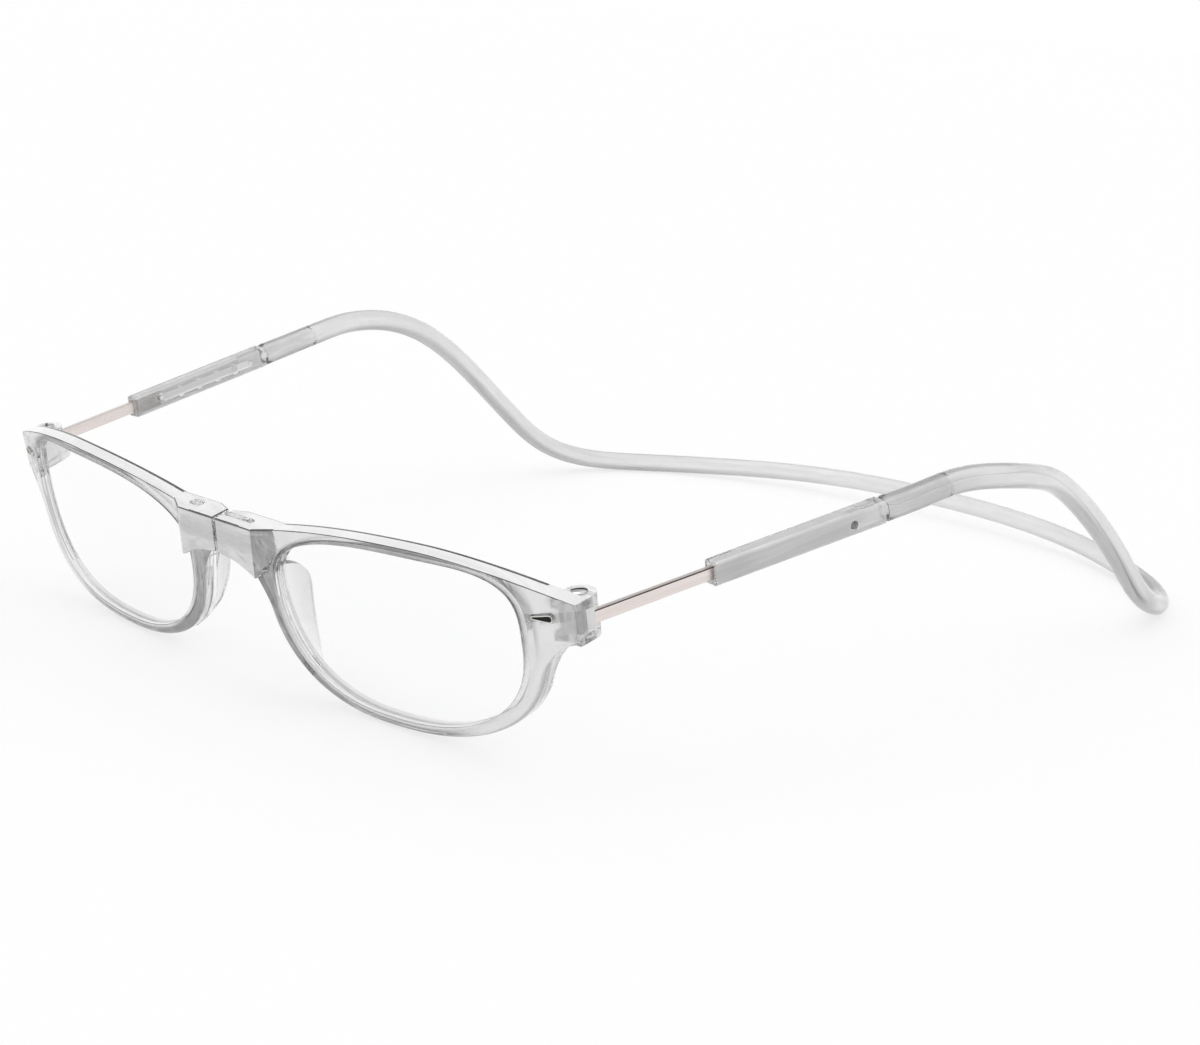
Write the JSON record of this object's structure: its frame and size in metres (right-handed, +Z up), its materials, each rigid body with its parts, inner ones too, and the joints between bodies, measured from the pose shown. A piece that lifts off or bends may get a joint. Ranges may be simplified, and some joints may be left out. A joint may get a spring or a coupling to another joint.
{
  "type": "reading glasses",
  "caption": "Front-closing magnetic reading glasses: two hinged front halves, sliding click-stop temples and a one-piece neck band.",
  "frame": {"origin": "centre of the footprint, on the surface the glasses stand on", "axes": "+X to the wearer's left, -Y forward out of the face, +Z up; rims and nape of the band stand on the XY plane"},
  "size_m": [0.1692, 0.21, 0.042],
  "materials": {
    "clear_frame": "clear polished polycarbonate",
    "lens": "clear polished lens resin",
    "clear_band": "clear flexible thermoplastic",
    "strip_metal": "champagne coloured satin metal",
    "small_steel": "polished steel",
    "magnet_metal": "nickel plated magnet"
  },
  "bodies": {
    "band": {"neck_band": "clear_band", "right_sleeve": "clear_frame", "right_sleeve_pin": "small_steel"},
    "right_strip": {"right_temple_strip": "strip_metal", "right_click_stud": "small_steel"},
    "right_front": {"right_front_half": "clear_frame", "right_lens": "lens", "right_magnet": "magnet_metal", "right_magnet_plug": "clear_frame", "right_trim_rivet": "small_steel", "right_hinge_screw": "small_steel"},
    "left_arm": {"left_sleeve": "clear_frame", "left_sleeve_pin": "small_steel"},
    "left_strip": {"left_temple_strip": "strip_metal", "left_click_stud": "small_steel"},
    "left_front": {"left_front_half": "clear_frame", "left_lens": "lens", "left_magnet": "magnet_metal", "left_magnet_plug": "clear_frame", "left_trim_rivet": "small_steel", "left_hinge_screw": "small_steel"}
  },
  "joints": [
    {"name": "band_flex", "type": "hinge", "parent": "band", "child": "left_arm", "pos_m": [-0.00002, 0.10302, 0.00434], "axis": [0, -0.2458, 0.9693], "range_deg": [0, 12], "stiffness_Nm_per_rad": 1, "deforming": ["neck_band"]},
    {"name": "left_temple_slide", "type": "slide", "parent": "left_arm", "child": "left_strip", "axis": [0.1481, 0.9737, 0.173], "range_m": [0, 0.0204]},
    {"name": "right_temple_slide", "type": "slide", "parent": "band", "child": "right_strip", "axis": [-0.1481, 0.9737, 0.173], "range_m": [0, 0.0204]},
    {"name": "left_front_fold", "type": "hinge", "parent": "left_strip", "child": "left_front", "pos_m": [0.06649, -0.08995, 0.0253], "axis": [0, 0.2458, -0.9693], "range_deg": [0, 90]},
    {"name": "right_front_fold", "type": "hinge", "parent": "right_strip", "child": "right_front", "pos_m": [-0.06652, -0.08995, 0.0253], "axis": [0, -0.2458, 0.9693], "range_deg": [0, 90]}
  ]
}
